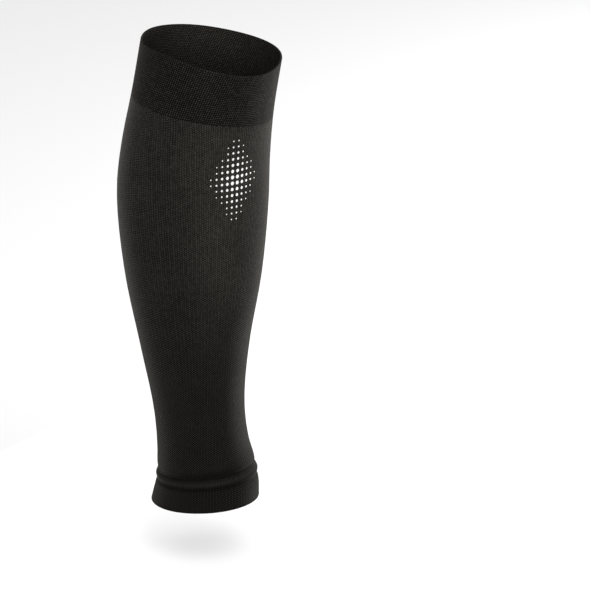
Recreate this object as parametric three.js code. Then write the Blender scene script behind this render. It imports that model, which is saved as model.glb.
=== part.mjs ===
// Calf compression sleeve for a right leg, filled out as it is when worn.
// Millimetres. +Z runs up the leg, the shin faces -Y, and the leg's outer side faces -X.
// The origin is the middle of the hollow at the calf's fullest section.
import * as THREE from "three";

// Driving sizes, outside and as worn
const sleeveLength = 349; // between the middles of the two openings
const calfHeight = 239; // the fullest section, above the ankle opening
const calfDepth = 110; // there, from shin to calf
const calfWidth = 104; // there, from the inner to the outer side

// Top band: how far its join lies below the middle height of the top opening
const topBandFront = 42.5;
const topBandBack = 38.5;
const topBandSide = 38.2;
const topBandWall = 1.4;

// Calf body
const bodyWall = 1;

// Ankle band: a turned hem with a raised ridge between two grooves
const ankleBandWall = 1.7;
const ridgeHeight = 22.5; // above the ankle opening
const ridgeRise = 0.9;
const grooveDrop = 0.5;
const ridgeToGroove = 4;
const grooveToFlat = 2.5;

const knitGap = 0.3; // between two neighbouring knits

// How finely the cloth is faceted
const roundFacets = 64;
const bodySteps = 22;
const topBandSteps = 5;
const hemSteps = 5;
const edgeFacets = 4;

// The leg's sections, from the ankle opening to the top opening.
// at: 0 is the ankle opening, 1 the calf's fullest section and 2 the top opening
// width, depth: shares of calfWidth and calfDepth
// back: how far the middle lies towards the calf, as a share of calfDepth
// egg: how much wider the section is behind its middle than in front of it
// tilt: how steeply the section rises from the shin to the calf
const sections = [
  { at: 0.0, width: 0.66, depth: 0.735, back: -0.064, egg: 0.02, tilt: -0.07 },
  { at: 0.08, width: 0.64, depth: 0.688, back: -0.077, egg: -0.02, tilt: -0.13 },
  { at: 0.18, width: 0.6, depth: 0.617, back: -0.051, egg: -0.05, tilt: -0.12 },
  { at: 0.3, width: 0.58, depth: 0.61, back: -0.027, egg: -0.06, tilt: -0.09 },
  { at: 0.5, width: 0.69, depth: 0.725, back: -0.002, egg: 0.0, tilt: -0.04 },
  { at: 0.75, width: 0.88, depth: 0.915, back: 0.004, egg: 0.06, tilt: 0.01 },
  { at: 1.0, width: 1.0, depth: 1.0, back: 0.0, egg: 0.08, tilt: 0.06 },
  { at: 1.3, width: 1.03, depth: 0.969, back: -0.023, egg: 0.08, tilt: 0.1 },
  { at: 1.65, width: 1.02, depth: 0.92, back: -0.074, egg: 0.03, tilt: 0.14 },
  { at: 2.0, width: 1.02, depth: 0.912, back: -0.132, egg: -0.04, tilt: 0.15 },
];

const columns = ["width", "depth", "back", "egg", "tilt"];

// The top rim, round the leg from its inner side over the calf, the outer side and the shin
// turn: in degrees. rise: above the opening's middle height, as a share of topBandFront
const rim = [
  { turn: 0, rise: -0.075 },
  { turn: 45, rise: -0.038 },
  { turn: 90, rise: 0.0 },
  { turn: 114, rise: -0.006 },
  { turn: 135, rise: 0.048 },
  { turn: 158, rise: 0.09 },
  { turn: 180, rise: 0.067 },
  { turn: 203, rise: 0.009 },
  { turn: 225, rise: -0.044 },
  { turn: 248, rise: -0.066 },
  { turn: 270, rise: -0.03 },
  { turn: 292, rise: -0.014 },
  { turn: 320, rise: -0.044 },
  { turn: 360, rise: -0.075 },
];

function sectionHeight(at) {
  return Math.min(at, 1) * calfHeight + Math.max(at - 1, 0) * (sleeveLength - calfHeight);
}

const legSections = new THREE.CubicInterpolant(
  sections.map((row) => sectionHeight(row.at)),
  sections.flatMap((row) => columns.map((column) => row[column])),
  columns.length,
);

// The point at a height above the ankle opening and a turn round the leg,
// and some millimetres out of the cloth's outer face.
function legPoint(height, turn, out) {
  const [width, depth, back, egg, tilt] = legSections.evaluate(height);
  const halfWidth = (width * calfWidth) / 2;
  const halfDepth = (depth * calfDepth) / 2;
  const cos = Math.cos(turn);
  const sin = Math.sin(turn);
  const round = new THREE.Vector2(
    halfWidth * (egg * (cos * cos - sin * sin) - sin),
    halfDepth * cos,
  ).normalize();
  const x = halfWidth * cos * (1 + egg * sin) + round.y * out;
  const y = halfDepth * sin - round.x * out;
  const z = height - calfHeight + tilt * y;
  return new THREE.Vector3(x, y + back * calfDepth, z);
}

// Heights of the joins above the ankle opening
const ankleJoin = ridgeHeight + ridgeToGroove;

const rimRise = new THREE.CubicInterpolant(
  rim.map((row) => THREE.MathUtils.degToRad(row.turn)),
  rim.map((row) => row.rise),
  1,
);
rimRise.settings = { endingStart: THREE.WrapAroundEnding, endingEnd: THREE.WrapAroundEnding };

function topRim(turn) {
  return sleeveLength + rimRise.evaluate(turn)[0] * topBandFront;
}

function topJoin(turn) {
  const end = Math.sin(turn) < 0 ? topBandFront : topBandBack;
  return sleeveLength - THREE.MathUtils.lerp(topBandSide, end, Math.sin(turn) ** 2);
}

// The outer face of a wall, from bottom to top, as points of (out, height)
function plainFace(bottom, top, steps) {
  return Array.from(
    { length: steps + 1 },
    (_, i) => new THREE.Vector2(0, THREE.MathUtils.lerp(bottom, top, i / steps)),
  );
}

// Half a round from the outer face to the inner one, over an edge that faces up or down
function roundedEdge(wall, edge, facing) {
  return Array.from({ length: edgeFacets + 1 }, (_, i) => {
    const angle = (i / edgeFacets) * Math.PI;
    const rise = (Math.sin(angle) - 1) * facing;
    return new THREE.Vector2((Math.cos(angle) - 1) * (wall / 2), edge + rise * (wall / 2));
  });
}

function innerFace(outerFace, wall) {
  return outerFace.map((point) => new THREE.Vector2(point.x - wall, point.y)).reverse();
}

// A closed wall: its profile is a loop of (out, height) points, spun round the leg and
// laid on the leg's sections. heightAt turns a profile's height into one above the opening.
function sleevePiece(name, loop, heightAt, material) {
  const profile = [...loop, loop[0]];
  const geometry = new THREE.LatheGeometry(profile, roundFacets);
  const places = geometry.getAttribute("position");
  for (let i = 0; i < places.count; i += 1) {
    const point = profile[i % profile.length];
    const facet = Math.floor(i / profile.length) % roundFacets;
    const turn = (facet / roundFacets) * 2 * Math.PI;
    places.setXYZ(i, ...legPoint(heightAt(point.y, turn), turn, point.x));
  }
  geometry.computeVertexNormals();
  const mesh = new THREE.Mesh(geometry, material);
  mesh.name = name;
  return mesh;
}

// The band's profile rises from its join, with the band's height at the shin.
function topBand() {
  const material = new THREE.MeshStandardMaterial({ color: 0x1b1a18, roughness: 0.9, metalness: 0 });
  const face = plainFace(0, topBandFront - topBandWall / 2, topBandSteps);
  const loop = [
    ...face.slice(0, -1),
    ...roundedEdge(topBandWall, topBandFront, 1),
    ...innerFace(face, topBandWall).slice(1),
  ];
  const heightAt = (height, turn) =>
    THREE.MathUtils.lerp(topJoin(turn), topRim(turn), height / topBandFront);
  return sleevePiece("top_band", loop, heightAt, material);
}

function calfBody() {
  const material = new THREE.MeshStandardMaterial({ color: 0x262422, roughness: 0.85, metalness: 0 });
  const bottom = ankleJoin + knitGap;
  const top = sleeveLength - topBandFront - knitGap;
  const groove = new THREE.Vector2(-grooveDrop, bottom);
  const face = [groove, ...plainFace(bottom + grooveToFlat, top, bodySteps)];
  const heightAt = (height, turn) => {
    const share = (height - bottom) / (top - bottom);
    return THREE.MathUtils.lerp(bottom, topJoin(turn) - knitGap, share);
  };
  return sleevePiece("calf_body", [...face, ...innerFace(face, bodyWall)], heightAt, material);
}

function ankleBand() {
  const material = new THREE.MeshStandardMaterial({ color: 0x211f1d, roughness: 0.9, metalness: 0 });
  const hemTop = ridgeHeight - ridgeToGroove - grooveToFlat;
  const ridge = [
    new THREE.Vector2(-grooveDrop, ridgeHeight - ridgeToGroove),
    new THREE.Vector2(ridgeRise / 2, ridgeHeight - ridgeToGroove / 2),
    new THREE.Vector2(ridgeRise, ridgeHeight),
    new THREE.Vector2(ridgeRise / 2, ridgeHeight + ridgeToGroove / 2),
    new THREE.Vector2(-grooveDrop, ankleJoin),
  ];
  const face = [...plainFace(ankleBandWall / 2, hemTop, hemSteps), ...ridge];
  const loop = [
    ...face,
    ...innerFace(face, ankleBandWall),
    ...roundedEdge(ankleBandWall, 0, -1).reverse().slice(1, -1),
  ];
  return sleevePiece("ankle_band", loop, (height) => height, material);
}

const sleeve = new THREE.Group();
sleeve.add(topBand(), calfBody(), ankleBand());
export default sleeve;
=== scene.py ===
import math

import bpy
import numpy as np
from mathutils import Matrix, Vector
from mathutils.bvhtree import BVHTree


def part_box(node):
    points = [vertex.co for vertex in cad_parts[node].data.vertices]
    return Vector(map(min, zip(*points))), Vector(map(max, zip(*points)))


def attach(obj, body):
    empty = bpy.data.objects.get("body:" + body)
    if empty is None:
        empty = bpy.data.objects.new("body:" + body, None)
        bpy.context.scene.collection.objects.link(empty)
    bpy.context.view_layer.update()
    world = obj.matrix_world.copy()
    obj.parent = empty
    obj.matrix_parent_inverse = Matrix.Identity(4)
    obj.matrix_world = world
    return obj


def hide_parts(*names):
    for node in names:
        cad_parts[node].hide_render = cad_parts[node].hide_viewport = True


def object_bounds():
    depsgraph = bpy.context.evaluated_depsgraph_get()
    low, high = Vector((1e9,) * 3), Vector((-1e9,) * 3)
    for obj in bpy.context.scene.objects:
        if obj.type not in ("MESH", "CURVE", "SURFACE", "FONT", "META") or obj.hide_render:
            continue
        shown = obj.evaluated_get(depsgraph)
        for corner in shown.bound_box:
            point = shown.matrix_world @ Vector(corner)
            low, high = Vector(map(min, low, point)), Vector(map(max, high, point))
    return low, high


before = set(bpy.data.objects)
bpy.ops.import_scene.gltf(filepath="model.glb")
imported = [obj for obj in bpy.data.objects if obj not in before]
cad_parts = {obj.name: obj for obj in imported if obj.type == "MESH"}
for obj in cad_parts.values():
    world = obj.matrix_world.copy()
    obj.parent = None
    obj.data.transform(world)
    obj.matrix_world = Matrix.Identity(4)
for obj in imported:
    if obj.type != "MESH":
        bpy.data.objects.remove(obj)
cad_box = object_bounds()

# Calf compression sleeve, worn form, in metres. +Z runs up the leg and the shin faces -Y.
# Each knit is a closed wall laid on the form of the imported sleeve, with its own stitches.
MM = 0.001
TOP, BODY, ANKLE = "top_band", "calf_body", "ankle_band"

# Walls and edges
TOP_WALL = 1.3 * MM
BODY_WALL = 0.9 * MM
ANKLE_WALL = 1.6 * MM
KNIT_GAP = 0.3 * MM  # between two packed knits
JOIN_CLOSER = 0.13 * MM  # how far each knit comes past its packed edge towards its neighbour
JOIN_ROUND = 0.15 * MM  # how far an edge at a join is rounded
EDGE_STEPS = 6  # round each edge, from the outer face to the inner one

# The ankle's relief, by height above the ankle opening: how far the cloth stands out there
ANKLE_RELIEF = [
    {"height": 0.0 * MM, "out": 0.0 * MM},
    {"height": 13.5 * MM, "out": 0.0 * MM},
    {"height": 15.8 * MM, "out": -0.2 * MM},
    {"height": 17.9 * MM, "out": -0.6 * MM},
    {"height": 19.6 * MM, "out": -0.2 * MM},
    {"height": 21.6 * MM, "out": 0.55 * MM},
    {"height": 23.8 * MM, "out": 0.1 * MM},
    {"height": 25.4 * MM, "out": -0.4 * MM},
    {"height": 26.8 * MM, "out": -0.55 * MM},
    {"height": 28.6 * MM, "out": -0.25 * MM},
    {"height": 32.0 * MM, "out": 0.0 * MM},
]

# Stitches, as counts round the sleeve and as heights along it
WALES = 192
BODY_COURSE = 1.7 * MM
HEM_COURSE = 1.7 * MM
MESH_DOTS = 208
MESH_LEAN = 3  # the band's wales lean by one stitch in this many courses
STITCHES = "stitches"  # the UV map's name

# How far the raised stitches stand out, and how deep the finer loops on them are
WALE_RISE, HEM_RISE, MESH_RISE = 0.05 * MM, 0.06 * MM, 0.08 * MM
BODY_BUMP, HEM_BUMP, MESH_BUMP = 0.1 * MM, 0.03 * MM, 0.08 * MM

# How finely each wall is made: its rows on the outer and on the inner face
STITCH_STEPS = 3  # columns to a wale, and rows to a course
BAND_ROWS, BAND_INNER_ROWS = 84, 42
BODY_ROWS, BODY_INNER_ROWS = 120, 16
FOOT_SHARE, FOOT_ROWS = 0.02, 14  # the body's foot, in the groove above the ridge
HEM_ROWS, HEM_INNER_ROWS = 94, 30

# The cloth's finish: a matt black yarn, with the soft light edge that fine hairs give it
ROUGHNESS = 0.85
SHEEN_ROUGHNESS = 0.35
BAND_SHEEN, BODY_SHEEN, HEM_SHEEN = 0.05, 0.11, 0.08
SPECULAR = 0.012
YARN = (1.0, 0.948, 0.835)  # its tint
SHEEN_TINT = (1.0, 0.975, 0.92, 1)

# Tones and stitches along the cloth, as shares of the yarn's own light and dark
# at: for the body its height on the leg. For a band how far up its outer face from the lower
# edge, which goes on over the upper edge and down the inner face
# tone: how light the yarn is, with painted light and shade in it where marked below. rib, loops,
# wales: how strong each stitch pattern shows
# wander: how far the stitches stand out of line, in stitches
# The body's tone is darker towards the ankle and lightest at its top, over the calf.
BODY_LOOK = [
    {"at": -200 * MM, "tone": 0.0071, "rib": 0.35, "loops": 2.5, "wales": 0.1, "wander": 0.3},
    {"at": -125 * MM, "tone": 0.0089, "rib": 0.3, "loops": 1.8, "wales": 0.15, "wander": 0.5},
    {"at": -50 * MM, "tone": 0.0128, "rib": 0.1, "loops": 0.8, "wales": 0.4, "wander": 1.1},
    {"at": 65 * MM, "tone": 0.0158, "rib": 0.08, "loops": 0.7, "wales": 0.4, "wander": 1.6},
]
# Painted light and shade on the body's inner face: lighter than the same yarn outside, and darker
# further down the leg.
BODY_INSIDE_LOOK = [
    {"at": 50 * MM, "tone": 0.022, "rib": 0.1, "loops": 0.4, "wales": 0.4, "wander": 1.0},
    {"at": 80 * MM, "tone": 0.03, "rib": 0.1, "loops": 0.4, "wales": 0.4, "wander": 1.0},
]
# The hem's tones paint a highlight along the ridge, lightest at its crest, and painted shade in the
# grooves on either side.
HEM_LOOK = [
    {"at": 14.5 * MM, "tone": 0.0033, "rib": 1.4, "loops": 8.0, "wales": 0.1, "wander": 0.3},
    {"at": 17.8 * MM, "tone": 0.0032, "rib": 0.2, "loops": 0.8, "wales": 0.1, "wander": 0.3},
    {"at": 19.4 * MM, "tone": 0.0058, "rib": 0.3, "loops": 2.2, "wales": 0.1, "wander": 0.3},
    {"at": 21.3 * MM, "tone": 0.0105, "rib": 0.3, "loops": 2.6, "wales": 0.1, "wander": 0.3},
    {"at": 23.6 * MM, "tone": 0.0068, "rib": 0.3, "loops": 2.2, "wales": 0.1, "wander": 0.3},
    {"at": 25.8 * MM, "tone": 0.003, "rib": 0.2, "loops": 1.0, "wales": 0.1, "wander": 0.3},
]
# The band's outer tone grows lighter over the fold at the rim, a painted highlight.
BAND_LOOK = [
    {"at": 0.0 * MM, "tone": 0.0105},
    {"at": 40.0 * MM, "tone": 0.0105},
    {"at": 43.0 * MM, "tone": 0.019},
]
# Painted light and shade on the band's inner face: lighter than the same yarn outside, and darker
# deeper in.
BAND_INSIDE_LOOK = [
    {"at": 46.0 * MM, "tone": 0.0255},
    {"at": 84.0 * MM, "tone": 0.0185},
]
# Painted shade on the body's foot in the groove above the ridge, and the painted ridge highlight and
# groove shade, strongest on the side toward the camera
GROOVE_SHADE, GROOVE_LENGTH = 0.4, 7 * MM  # the body's foot, in the groove above the ridge
RIDGE_TURN, RIDGE_SIDES = 185, 0.35  # where ridge and grooves show most, and the share opposite
# Painted shade on the opening's two ends
FAR_SIDE_TURN, ENDS_SHADE = 15, 0.45  # the opening's two ends are darker than its long sides

# How stitches differ
GRAIN = 0.25  # how much lighter or darker a stitch can be
MESH_GRAIN, MESH_GRAIN_LEAST = 0.9, 0.55  # the band's stitches: from the least one, by so much
LEAST_LIGHT = 0.05  # of the gaps between loops
MESH_WANDER = 0.9  # how far the band's stitches stand out of line, in stitches
WANDER_SCALES = (90, 120)  # how often wales and courses wander

# The mesh's dots: how light they are, how light the mesh between them is, and how small they are
DOTS_LIGHT, MESH_LIGHT = 4.0, 0.28
INSIDE_DOTS_LIGHT, INSIDE_MESH_LIGHT = 3.0, 0.46
DOTS_POWER = 1.5

# Soft patches, a little lighter and darker
# scale: how fine they are. spread: how much they differ
PATCH_EDGES = (0.3, 0.7)  # the noise where a patch is darkest and lightest
BAND_PATCHES = {"scale": 25, "spread": 0.08}
BODY_PATCHES = {"scale": 30, "spread": 0.07}

# A painted highlight: a soft lighter patch over the outer side of the shin, where it lies and how
# much lighter it is
HIGHLIGHT_TURN, HIGHLIGHT_HEIGHT = 209, -8 * MM
HIGHLIGHT_ROUND, HIGHLIGHT_ALONG = 34 * MM, 95 * MM
HIGHLIGHT_REACH = 1.4  # times those two lengths
HIGHLIGHT_GAIN = 0.65

# A plain diamond of round white dots, printed where the shin meets the outer side
PRINT_TURN, PRINT_HEIGHT = 222, 24 * MM
PRINT_HALF_WIDTH, PRINT_HALF_HEIGHT = 24 * MM, 38 * MM
PRINT_PITCH = 4.6 * MM
PRINT_RADIUS_MIDDLE, PRINT_RADIUS_RIM = 1.6 * MM, 0.4 * MM
PRINT_INK = (0.82, 0.82, 0.81)
BODY_ROUND = 335 * MM  # the body's girth at the print

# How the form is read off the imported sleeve
LEVEL = 1.5 * MM  # between two heights that are read
TURNS_READ = 120
WAVES_ROUND = 9  # that each smooth section is made of
EDGE_SKIP = 2.5 * MM  # not read at the two ends, and as much across the band's join
SMOOTH_LEVELS = 5  # in the running mean along the leg
RIDGE_FROM, RIDGE_TO = 14.5 * MM, 31.0 * MM  # not read, above the ankle opening
FAR = 0.15  # outside the leg, from its middle line

# A filled place follows this many levels near it, on a curve of this degree
FIT_BETWEEN = (16, 3)
FIT_PAST_END = (5, 1)


def node_points(name):
    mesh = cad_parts[name].data
    return np.array([v.co for v in mesh.vertices], float)


def box_middle(name):
    low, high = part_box(name)
    return (low + high) / 2


# The line up the middle of the leg, from which every turn is counted
TOP_MIDDLE = box_middle(TOP)
ANKLE_MIDDLE = box_middle(ANKLE)


def middle_line(z):
    share = (z - ANKLE_MIDDLE.z) / (TOP_MIDDLE.z - ANKLE_MIDDLE.z)
    return ANKLE_MIDDLE.y + share * (TOP_MIDDLE.y - ANKLE_MIDDLE.y)


def round_waves(turns, count):
    """The even and odd waves round the leg, up to a count, at some turns."""
    waves = [np.ones_like(turns)]
    for k in range(1, count + 1):
        waves += [np.cos(k * turns), np.sin(k * turns)]
    return np.stack(waves, axis=-1)


class Edge:
    """The height of a knit's lower or upper edge, at any turn round the leg."""

    WAVES = 6  # round the leg, in the edge's curve
    BINS = 48  # round the leg, with one point of the edge picked in each

    def __init__(self, name, upper):
        points = node_points(name)
        turns = np.arctan2(points[:, 1] - middle_line(points[:, 2]), points[:, 0])
        bins = np.floor((turns + math.pi) / (2 * math.pi) * self.BINS).astype(int) % self.BINS
        picked = []
        for b in range(self.BINS):
            inside = np.flatnonzero(bins == b)
            if len(inside):
                heights = points[inside, 2]
                picked.append(inside[heights.argmax() if upper else heights.argmin()])
        found = round_waves(turns[picked], self.WAVES)
        self.shares = np.linalg.lstsq(found, points[picked, 2], rcond=None)[0]

    def at(self, turns):
        return round_waves(turns, self.WAVES) @ self.shares


class LegForm:
    """The smooth outer form under all the knits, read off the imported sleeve."""

    def __init__(self):
        self.ankle_edge = Edge(ANKLE, upper=False)
        self.ankle_join = Edge(ANKLE, upper=True)
        self.top_join = Edge(TOP, upper=False)
        self.rim = Edge(TOP, upper=True)
        points, faces = [], []
        for name in (TOP, BODY, ANKLE):
            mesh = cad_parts[name].data
            start = len(points)
            points.extend(v.co.copy() for v in mesh.vertices)
            faces.extend([start + i for i in face.vertices] for face in mesh.polygons)
        tree = BVHTree.FromPolygons(points, faces)
        low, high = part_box(ANKLE)[0].z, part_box(TOP)[1].z
        self.levels = np.arange(low - 2 * LEVEL, high + 2 * LEVEL, LEVEL)
        turns = np.arange(TURNS_READ) / TURNS_READ * 2 * math.pi
        reach = np.array([[self.read(tree, z, turn) for turn in turns] for z in self.levels])
        for column, turn in enumerate(turns):
            reach[:, column] = self.filled(reach[:, column], turn)
        reach = self.smoothed(reach)
        found = round_waves(turns, WAVES_ROUND)
        self.shares = np.linalg.lstsq(found, reach.T, rcond=None)[0].T

    def read(self, tree, z, turn):
        """How far the cloth's outer face lies from the middle line."""
        way = Vector((math.cos(turn), math.sin(turn), 0))
        middle = Vector((0, middle_line(z), z))
        place = tree.ray_cast(middle + way * FAR, -way, FAR)[0]
        return (place - middle).length if place else math.nan

    def filled(self, column, turn):
        """One upright line of the form, carried on past its ends and over ridge and joins."""
        z = self.levels
        turn = np.array([turn])
        bottom = self.ankle_edge.at(turn)[0]
        top = self.rim.at(turn)[0]
        good = np.isfinite(column) & (z > bottom + EDGE_SKIP) & (z < top - EDGE_SKIP)
        good &= (z < bottom + RIDGE_FROM) | (z > bottom + RIDGE_TO)
        good &= abs(z - self.top_join.at(turn)[0]) > EDGE_SKIP / 2
        result = column.copy()
        known = np.flatnonzero(good)
        for i in np.flatnonzero(~good):
            between = known[0] < i < known[-1]
            count, degree = FIT_BETWEEN if between else FIT_PAST_END
            near = known[np.argsort(abs(known - i), kind="stable")[:count]]
            result[i] = np.polyfit(z[near] - z[i], column[near], degree)[-1]
        return result

    def smoothed(self, reach):
        """A running mean along the leg, with the slope kept at both ends."""
        half = SMOOTH_LEVELS // 2
        before = 2 * reach[:1] - reach[half:0:-1]
        after = 2 * reach[-1:] - reach[-2 : -2 - half : -1]
        long = np.concatenate([before, reach, after])
        return sum(long[i : i + len(reach)] for i in range(SMOOTH_LEVELS)) / SMOOTH_LEVELS

    def places(self, turns, heights):
        """Points of the form: one column for each turn, one row for each set of heights."""
        table = self.shares @ round_waves(turns, WAVES_ROUND).T
        reach = np.empty_like(heights)
        for column in range(len(turns)):
            reach[:, column] = np.interp(heights[:, column], self.levels, table[:, column])
        x = reach * np.cos(turns)
        y = reach * np.sin(turns) + middle_line(heights)
        return np.stack([x, y, heights], axis=-1)

    def outwards(self, turns, heights):
        """The direction straight out of the cloth at each of those points."""
        step = LEVEL / 2
        up = self.places(turns, heights + step) - self.places(turns, heights - step)
        places = self.places(turns, heights)
        along = np.roll(places, -1, axis=1) - np.roll(places, 1, axis=1)
        # an edge that rises with the turn must not tilt the cloth
        along -= up * (along[..., 2:] / up[..., 2:])
        out = np.cross(along, up)
        return out / np.linalg.norm(out, axis=-1, keepdims=True)


def smooth_table(rows, heights):
    """A smooth curve through a short table of heights and how far the cloth stands out."""
    h = np.array([row["height"] for row in rows])
    o = np.array([row["out"] for row in rows])
    slopes = np.gradient(o, h)
    slopes[0] = slopes[-1] = 0
    i = np.clip(np.searchsorted(h, heights) - 1, 0, len(h) - 2)
    gap = h[i + 1] - h[i]
    t = np.clip((heights - h[i]) / gap, 0, 1)
    return (
        o[i] * (1 + 2 * t) * (1 - t) ** 2
        + o[i + 1] * t * t * (3 - 2 * t)
        + gap * (slopes[i] * t * (1 - t) ** 2 - slopes[i + 1] * t * t * (1 - t))
    )


def spaced_rows(stretches):
    """Shares of a knit's height from 0 to 1: each stretch runs to a share in some steps."""
    shares = [0.0]
    for to, steps in stretches:
        start = shares[-1]
        shares += [start + (to - start) * (i + 1) / steps for i in range(steps)]
    return shares


def wall_rows(wall, shares, inner_steps, top_round, bottom_round):
    """A wall's rows as one closed walk: up the outer face, over, down the inner face, under.
    share: how far up the knit. past: what the rounded edges add to that height.
    out: from the outer face. face: 1 on the outer face, 0 on an edge, -1 on the inner face."""

    def beside_edges(share):
        return bottom_round * (1 - share) - top_round * share

    rows = [{"share": s, "past": beside_edges(s), "out": 0.0, "face": 1} for s in shares]
    for i in range(1, EDGE_STEPS):
        angle = i / EDGE_STEPS * math.pi
        past = top_round * (math.sin(angle) - 1)
        out = (math.cos(angle) - 1) * wall / 2
        rows.append({"share": 1.0, "past": past, "out": out, "face": 0})
    for i in range(inner_steps + 1):
        share = 1 - i / inner_steps
        rows.append({"share": share, "past": beside_edges(share), "out": -wall, "face": -1})
    for i in range(1, EDGE_STEPS):
        angle = math.pi * (1 - i / EDGE_STEPS)
        past = bottom_round * (1 - math.sin(angle))
        out = (math.cos(angle) - 1) * wall / 2
        rows.append({"share": 0.0, "past": past, "out": out, "face": 0})
    return rows


def walk_lengths(rows, height):
    """How far along the closed walk each row lies, with the whole walk's length at the end."""
    points = np.array([[row["share"] * height + row["past"], row["out"]] for row in rows])
    steps = np.linalg.norm(np.roll(points, -1, axis=0) - points, axis=1)
    return np.concatenate([[0], np.cumsum(steps)])


def column_of(rows, name):
    return np.array([row[name] for row in rows])[:, None]


def knit_wall(name, columns, bottom, top, rows, stitch_rise):
    """A closed knitted wall between two edge curves. Its UV runs round it and along its walk."""
    turns = np.arange(columns) / columns * 2 * math.pi
    low, high = bottom(turns), top(turns)
    walk = walk_lengths(rows, (high - low).mean())
    heights = low + (high - low) * column_of(rows, "share") + column_of(rows, "past")
    out = column_of(rows, "out") + smooth_table(ANKLE_RELIEF, heights - leg.ankle_edge.at(turns))
    outer = column_of(rows, "face") == 1
    out += np.where(outer, stitch_rise(np.arange(columns), np.arange(len(rows))[:, None]), 0)
    places = leg.places(turns, heights) + leg.outwards(turns, heights) * out[..., None]
    count = len(rows)
    ids = np.arange(count * columns).reshape(count, columns)
    up = np.roll(ids, -1, axis=0)
    faces = np.stack([ids, np.roll(ids, -1, axis=1), np.roll(up, -1, axis=1), up], axis=-1)
    mesh = bpy.data.meshes.new(name)
    mesh.from_pydata(places.reshape(-1, 3).tolist(), [], faces.reshape(-1, 4).tolist())
    left = np.broadcast_to(np.arange(columns) / columns, (count, columns))
    right = left + 1 / columns
    start = np.broadcast_to((walk[:-1] / walk[-1])[:, None], (count, columns))
    end = np.broadcast_to((walk[1:] / walk[-1])[:, None], (count, columns))
    corners = np.stack([left, start, right, start, right, end, left, end], axis=-1)
    uv = mesh.uv_layers.new(name=STITCHES)
    uv.data.foreach_set("uv", corners.reshape(-1).astype(np.float32))
    mesh.polygons.foreach_set("use_smooth", [True] * len(mesh.polygons))
    inner = np.repeat(column_of(rows, "face")[:, 0] == -1, columns)
    mesh.polygons.foreach_set("material_index", inner.astype(np.int32))
    mesh.update()
    piece = bpy.data.objects.new(name, mesh)
    bpy.context.scene.collection.objects.link(piece)
    return piece, walk


def raised(curve, amount):
    """An edge curve moved up by an amount, or down where it is below 0."""
    return lambda turns: curve.at(turns) + amount


def mesh_rise(column, row):
    """A raised loop at each stitch of the mesh, whose wales lean."""
    course = row // STITCH_STEPS
    lean = course * STITCH_STEPS // MESH_LEAN
    return MESH_RISE * (((column - lean) % STITCH_STEPS == 0) & (row % STITCH_STEPS == 0))


def wale_rise(column, _row):
    """Upright wales."""
    return WALE_RISE * (column % STITCH_STEPS == 0)


def hem_rise(column, row):
    """Short wales, those of every second one set in between."""
    shown = (column // STITCH_STEPS + row // STITCH_STEPS) % 2 == 0
    return HEM_RISE * ((column % STITCH_STEPS == 0) & shown)


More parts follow.
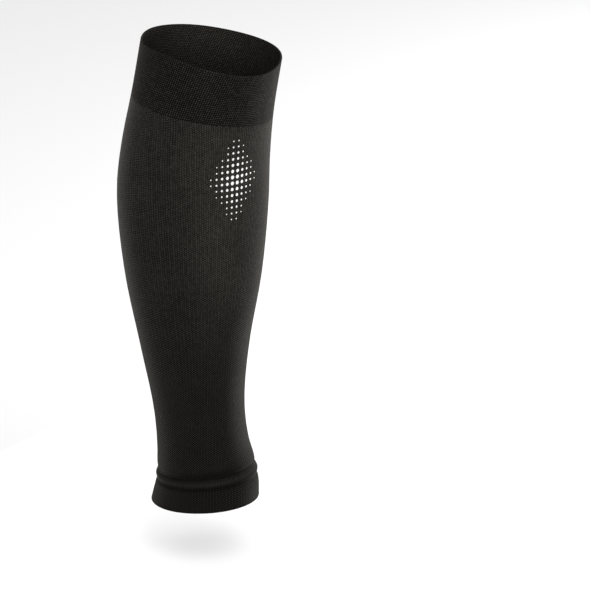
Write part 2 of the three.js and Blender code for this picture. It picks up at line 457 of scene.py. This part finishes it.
class Finish:
    """A material's nodes, added one call at a time."""

    def __init__(self, name, sheen=0.0, roughness=ROUGHNESS, specular=SPECULAR):
        self.material = bpy.data.materials.new(name)
        self.material.use_nodes = True
        self.nodes = self.material.node_tree.nodes
        self.links = self.material.node_tree.links
        self.cloth = self.nodes["Principled BSDF"]
        self.cloth.inputs["Roughness"].default_value = roughness
        self.cloth.inputs["Sheen Weight"].default_value = sheen
        self.cloth.inputs["Sheen Roughness"].default_value = SHEEN_ROUGHNESS
        self.cloth.inputs["Sheen Tint"].default_value = SHEEN_TINT
        self.cloth.inputs["Specular IOR Level"].default_value = specular

    def put(self, socket, value):
        if isinstance(value, bpy.types.NodeSocket):
            self.links.new(value, socket)
        else:
            socket.default_value = value

    def work_out(self, operation, *values):
        node = self.nodes.new("ShaderNodeMath")
        node.operation = operation
        for socket, value in zip(node.inputs, values):
            self.put(socket, value)
        return node.outputs[0]

    def plus(self, first, second):
        return self.work_out("ADD", first, second)

    def minus(self, first, second):
        return self.work_out("SUBTRACT", first, second)

    def times(self, first, second):
        return self.work_out("MULTIPLY", first, second)

    def over(self, first, second):
        return self.work_out("DIVIDE", first, second)

    def times_plus(self, value, factor, term):
        return self.work_out("MULTIPLY_ADD", value, factor, term)

    def wave(self, turns):
        """1 at each whole turn and -1 halfway between two."""
        return self.work_out("COSINE", self.times(turns, 2 * math.pi))

    def ramp(self, value, low, high, to_low=0.0, to_high=1.0):
        node = self.nodes.new("ShaderNodeMapRange")
        node.interpolation_type = "SMOOTHSTEP"
        for socket, entry in zip(node.inputs, (value, low, high, to_low, to_high)):
            self.put(socket, entry)
        return node.outputs[0]

    def split(self, vector):
        node = self.nodes.new("ShaderNodeSeparateXYZ")
        self.put(node.inputs[0], vector)
        return node.outputs

    def stitch_uv(self):
        node = self.nodes.new("ShaderNodeUVMap")
        node.uv_map = STITCHES
        return self.split(node.outputs[0])[:2]

    def object_place(self):
        return self.nodes.new("ShaderNodeTexCoord").outputs["Object"]

    def stitch_grain(self, across, along, amount, least):
        """A random value for each stitch, from the least one up by an amount."""
        join = self.nodes.new("ShaderNodeCombineXYZ")
        for socket, place in zip(join.inputs, (across, along)):
            self.put(socket, self.work_out("FLOOR", self.plus(place, 0.5)))
        node = self.nodes.new("ShaderNodeTexWhiteNoise")
        node.noise_dimensions = "2D"
        self.put(node.inputs["Vector"], join.outputs[0])
        return self.times_plus(node.outputs["Value"], amount, least)

    def noise(self, scale):
        node = self.nodes.new("ShaderNodeTexNoise")
        self.put(node.inputs["Vector"], self.object_place())
        node.inputs["Scale"].default_value = scale
        return node.outputs["Fac"]

    def patchy(self, tone, scale, spread):
        """A tone a little lighter and darker in soft patches."""
        patches = self.ramp(self.noise(scale), *PATCH_EDGES, 1 - spread, 1 + spread)
        return self.times(tone, patches)

    def wander(self, place, scale, amount):
        """Stitches a little out of line with each other."""
        off = self.minus(self.noise(scale), 0.5)
        return self.times_plus(off, amount, place)

    def by_table(self, place, rows, column):
        """A value that changes from place to place, as a curve through a short table."""
        value = rows[0][column]
        for below, above in zip(rows, rows[1:]):
            change = above[column] - below[column]
            if change:
                rise = self.ramp(place, below["at"], above["at"], 0.0, change)
                value = self.plus(value, rise)
        return value

    def mix(self, share, first, second):
        """One colour over another. A Mix node's colour sockets are its inputs 6 and 7."""
        node = self.nodes.new("ShaderNodeMix")
        node.data_type = "RGBA"
        for number, value in ((0, share), (6, first), (7, second)):
            self.put(node.inputs[number], value)
        return node.outputs[2]

    def shade(self, colour, tone):
        """A colour made lighter or darker by a tone."""
        node = self.nodes.new("ShaderNodeVectorMath")
        node.operation = "SCALE"
        self.put(node.inputs[0], colour)
        self.put(node.inputs["Scale"], tone)
        return node.outputs[0]

    def colour(self, value):
        self.put(self.cloth.inputs["Base Color"], value)

    def bump(self, height, distance):
        node = self.nodes.new("ShaderNodeBump")
        node.inputs["Distance"].default_value = distance
        self.put(node.inputs["Height"], height)
        self.put(self.cloth.inputs["Normal"], node.outputs[0])


def mesh_knit(name, walk, course, sheen, look, inside=False):
    """The top band: a dark micro mesh whose raised loops show as small light dots."""
    finish = Finish(name, sheen)
    u, v = finish.stitch_uv()
    along = finish.times(v, walk / course)
    across = finish.minus(finish.times(u, MESH_DOTS), finish.over(along, MESH_LEAN))
    across = finish.wander(across, WANDER_SCALES[0], MESH_WANDER)
    along = finish.wander(along, WANDER_SCALES[1], MESH_WANDER)
    loops = 1.0
    for place in (across, along):
        loops = finish.times(loops, finish.times_plus(finish.wave(place), 0.5, 0.5))
    grain = finish.stitch_grain(across, along, MESH_GRAIN, MESH_GRAIN_LEAST)
    dots = finish.times(finish.work_out("POWER", loops, DOTS_POWER), grain)
    tone = finish.by_table(finish.times(v, walk), look, "tone")
    if inside:
        # the loops' backs show here, which are flatter
        light = finish.times_plus(dots, INSIDE_DOTS_LIGHT, INSIDE_MESH_LIGHT)
        # painted shade on the opening's two ends
        side = finish.wave(finish.times_plus(u, 2, -FAR_SIDE_TURN / 180))
        ends = finish.times_plus(side, (1 - ENDS_SHADE) / 2, (1 + ENDS_SHADE) / 2)
        tone = finish.times(tone, ends)
    else:
        light = finish.times_plus(dots, DOTS_LIGHT, MESH_LIGHT)
    tone = finish.patchy(tone, **BAND_PATCHES)
    finish.colour(finish.shade(YARN, finish.times(tone, light)))
    finish.bump(loops, MESH_BUMP)
    return finish.material


def ribbed_knit(name, walk, course, sheen, look, bump, along_leg=False, printed=False):
    """Jersey or double knit: upright wales, with the loops of every second one set in between."""
    finish = Finish(name, sheen)
    u, v = finish.stitch_uv()
    z = finish.split(finish.object_place())[2]
    place = z if along_leg else finish.times(v, walk)
    wander = finish.by_table(place, look, "wander")
    across = finish.wander(finish.times(u, WALES), WANDER_SCALES[0], wander)
    along = finish.wander(finish.times(v, walk / course), WANDER_SCALES[1], wander)
    rib = finish.wave(finish.times(across, 0.5))
    patterns = {
        "rib": rib,
        "loops": finish.times(rib, finish.wave(along)),
        "wales": finish.wave(across),
    }
    height = 0.0
    for column, pattern in patterns.items():
        part = finish.times(pattern, finish.by_table(place, look, column))
        height = finish.plus(height, part)
    grain = finish.stitch_grain(across, along, 2 * GRAIN, 1 - GRAIN)
    light = finish.work_out("MAXIMUM", finish.plus(height, grain), LEAST_LIGHT)
    tone = finish.by_table(place, look, "tone")
    # the painted ridge highlight and groove shade are strongest on the side toward the camera
    side = finish.wave(finish.minus(u, RIDGE_TURN / 360))
    ridge_shading = finish.times_plus(side, (1 - RIDGE_SIDES) / 2, (1 + RIDGE_SIDES) / 2)
    if along_leg:
        # painted shade on the body's foot, in the groove above the ridge
        foot = finish.ramp(finish.times(v, walk), 0.0, GROOVE_LENGTH, GROOVE_SHADE - 1, 0.0)
        tone = finish.times(tone, finish.times_plus(foot, ridge_shading, 1.0))
        # a painted highlight over the outer side of the shin
        tone = finish.times(tone, painted_highlight_tone(finish, u, z))
    else:
        plain = look[0]["tone"]
        tone = finish.times_plus(finish.minus(tone, plain), ridge_shading, plain)
    tone = finish.patchy(tone, **BODY_PATCHES)
    colour = finish.shade(YARN, finish.times(tone, light))
    if printed:
        colour = finish.mix(print_dots(finish, u, z), colour, (*PRINT_INK, 1))
    finish.colour(colour)
    finish.bump(height, bump)
    return finish.material


def round_from(finish, u, turn):
    """How far round the body a place lies from a turn in degrees, as a length."""
    return finish.times(finish.minus(u, turn / 360), BODY_ROUND)


def root_of_squares(finish, first, second):
    squares = finish.times_plus(first, first, finish.times(second, second))
    return finish.work_out("SQRT", squares)


def painted_highlight_tone(finish, u, z):
    """A painted highlight: how much lighter a place is made, in a soft patch over the outer side of
    the shin.
    """
    across = finish.over(round_from(finish, u, HIGHLIGHT_TURN), HIGHLIGHT_ROUND)
    along = finish.over(finish.minus(z, HIGHLIGHT_HEIGHT), HIGHLIGHT_ALONG)
    far = root_of_squares(finish, across, along)
    return finish.ramp(far, 0.0, HIGHLIGHT_REACH, 1 + HIGHLIGHT_GAIN, 1.0)


def print_dots(finish, u, z):
    """1 inside the printed dots, which grow smaller from the middle of their diamond."""
    across = round_from(finish, u, PRINT_TURN)
    along = finish.minus(z, PRINT_HEIGHT)
    offs, shares = [], []
    for side, half in ((across, PRINT_HALF_WIDTH), (along, PRINT_HALF_HEIGHT)):
        cell = finish.work_out("FRACT", finish.over(side, PRINT_PITCH))
        off = finish.times(finish.minus(cell, 0.5), PRINT_PITCH)
        middle = finish.work_out("ABSOLUTE", finish.minus(side, off))
        offs.append(off)
        shares.append(finish.over(middle, half))
    far = root_of_squares(finish, *offs)
    share = finish.plus(*shares)
    growth = PRINT_RADIUS_RIM - PRINT_RADIUS_MIDDLE
    radius = finish.times_plus(share, growth, PRINT_RADIUS_MIDDLE)
    inside = finish.work_out("LESS_THAN", far, radius)
    return finish.times(inside, finish.work_out("LESS_THAN", share, 1.0))


def cover(piece, outside, inside):
    """The outer face and both edges take the first material, and the inner face the second."""
    for material in (outside, inside):
        piece.data.materials.append(material)


leg = LegForm()

# Top band: micro mesh, with a rounded fold at the rim
top_band, walk = knit_wall(
    "top_band_knit",
    STITCH_STEPS * MESH_DOTS,
    raised(leg.top_join, -JOIN_CLOSER),
    leg.rim.at,
    wall_rows(
        TOP_WALL,
        spaced_rows([(1.0, BAND_ROWS)]),
        BAND_INNER_ROWS,
        top_round=TOP_WALL / 2,
        bottom_round=JOIN_ROUND,
    ),
    mesh_rise,
)
lengths = (walk[-1], STITCH_STEPS * walk[1])  # of the walk and of a course
cover(
    top_band,
    outside=mesh_knit("band_outside", *lengths, BAND_SHEEN, BAND_LOOK),
    inside=mesh_knit("band_inside", *lengths, 0.0, BAND_INSIDE_LOOK, inside=True),
)

# Calf body: upright wales, and closer rows at its foot
calf_body, walk = knit_wall(
    "calf_body_knit",
    STITCH_STEPS * WALES,
    raised(leg.ankle_join, KNIT_GAP - JOIN_CLOSER),
    raised(leg.top_join, JOIN_CLOSER - KNIT_GAP),
    wall_rows(
        BODY_WALL,
        spaced_rows([(FOOT_SHARE, FOOT_ROWS), (1.0, BODY_ROWS)]),
        BODY_INNER_ROWS,
        top_round=JOIN_ROUND,
        bottom_round=JOIN_ROUND,
    ),
    wale_rise,
)
lengths = (walk[-1], BODY_COURSE)
cover(
    calf_body,
    outside=ribbed_knit(
        "body_outside", *lengths, BODY_SHEEN, BODY_LOOK, BODY_BUMP, along_leg=True, printed=True
    ),
    inside=ribbed_knit("body_inside", *lengths, 0.0, BODY_INSIDE_LOOK, BODY_BUMP, along_leg=True),
)

# Ankle band: hem, ridge and grooves
ankle_band, walk = knit_wall(
    "ankle_band_knit",
    STITCH_STEPS * WALES,
    leg.ankle_edge.at,
    raised(leg.ankle_join, JOIN_CLOSER),
    wall_rows(
        ANKLE_WALL,
        spaced_rows([(1.0, HEM_ROWS)]),
        HEM_INNER_ROWS,
        top_round=JOIN_ROUND,
        bottom_round=ANKLE_WALL / 2,
    ),
    hem_rise,
)
lengths = (walk[-1], HEM_COURSE)
cover(
    ankle_band,
    outside=ribbed_knit("hem_outside", *lengths, HEM_SHEEN, HEM_LOOK, HEM_BUMP),
    inside=ribbed_knit("hem_inside", *lengths, 0.0, HEM_LOOK[:1], HEM_BUMP),
)

# What each knit stands for, and its size before it was stretched over a leg
# share: how much of that width and length the flat knit takes
KNITS = [
    {"node": TOP, "slot": "band_knit", "width": 0.275, "length": 0.040, "share": 0.98},
    {"node": BODY, "slot": "body_knit", "width": 0.265, "length": 0.27, "share": 0.82},
    {"node": ANKLE, "slot": "hem_knit", "width": 0.190, "length": 0.026, "share": 0.98},
]
for piece, knit in zip((top_band, calf_body, ankle_band), KNITS):
    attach(piece, "root")
    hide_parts(knit["node"])

# Floor
FLOOR_BELOW = 0.039
FLOOR_HALF = 8.0
PAPER = 0.72
PAPER_ROUGHNESS = 0.9
floor_z = cad_box[0].z - FLOOR_BELOW
bpy.ops.object.select_all(action="DESELECT")
bpy.ops.mesh.primitive_plane_add(size=2 * FLOOR_HALF, location=(0, 0, floor_z))
floor = bpy.context.object
floor.name = "floor"
bpy.ops.object.transform_apply(location=True)
paper = Finish("white_paper", roughness=PAPER_ROUGHNESS, specular=0.0)
paper.colour((PAPER, PAPER, PAPER, 1))
floor.data.materials.append(paper.material)

# Camera: the photograph's angle, and a long lens from afar
AZIMUTH = math.radians(-75)
ELEVATION = math.radians(21)
DISTANCE = 3.0
VIEW_END = 100.0
SENSOR = 36.0
FOCAL_PIXELS = 4128
PICTURE = 590
MIDDLE_PIXEL = (194.0, 275.5)  # where the sleeve's middle lies in the picture
SLEEVE_MIDDLE = Vector((0, 0, -65 * MM))

back = Vector(
    (
        math.sin(AZIMUTH) * math.cos(ELEVATION),
        -math.cos(AZIMUTH) * math.cos(ELEVATION),
        math.sin(ELEVATION),
    )
)
right = Vector((math.cos(AZIMUTH), math.sin(AZIMUTH), 0))
up = back.cross(right)
pixel = DISTANCE / FOCAL_PIXELS
target = (
    SLEEVE_MIDDLE
    + right * (PICTURE / 2 - MIDDLE_PIXEL[0]) * pixel
    + up * (MIDDLE_PIXEL[1] - PICTURE / 2) * pixel
)
lens = bpy.data.cameras.new("camera")
lens.sensor_width = SENSOR
lens.lens = SENSOR * FOCAL_PIXELS / PICTURE
lens.clip_end = VIEW_END
camera = bpy.data.objects.new("camera", lens)
camera.location = target + back * DISTANCE
camera.rotation_euler = back.to_track_quat("Z", "Y").to_euler()
bpy.context.scene.collection.objects.link(camera)
bpy.context.scene.camera = camera

# Lights: a white room and soft boxes, placed by how far right, up and towards the camera
LIGHTS = [
    {"name": "top_box", "right": 0.5, "up": 1.3, "near": 0.9, "size": 1.2, "watts": 12},
    {"name": "right_box", "right": 1.2, "up": 0.0, "near": -0.9, "size": 0.5, "watts": 23},
    {"name": "left_box", "right": -1.1, "up": -0.05, "near": -0.7, "size": 0.4, "watts": 0.5},
    {"name": "low_right_box", "right": 0.6, "up": -0.15, "near": -0.35, "size": 0.14, "watts": 3.6},
    {"name": "low_left_box", "right": -0.22, "up": -0.17, "near": -0.17, "size": 0.08, "watts": 0.4},
]
ROOM = 1.0
near = Vector((back.x, back.y, 0)).normalized()
for light in LIGHTS:
    box = bpy.data.lights.new(light["name"], "AREA")
    box.size = light["size"]
    box.energy = light["watts"]
    lamp = bpy.data.objects.new(light["name"], box)
    lamp.location = right * light["right"] + Vector((0, 0, light["up"])) + near * light["near"]
    lamp.rotation_euler = (lamp.location - SLEEVE_MIDDLE).to_track_quat("Z", "Y").to_euler()
    bpy.context.scene.collection.objects.link(lamp)
world = bpy.data.worlds.new("white_room")
world.use_nodes = True
world.node_tree.nodes["Background"].inputs["Color"].default_value = (1, 1, 1, 1)
world.node_tree.nodes["Background"].inputs["Strength"].default_value = ROOM
bpy.context.scene.world = world
bpy.context.scene.view_settings.view_transform = "Standard"
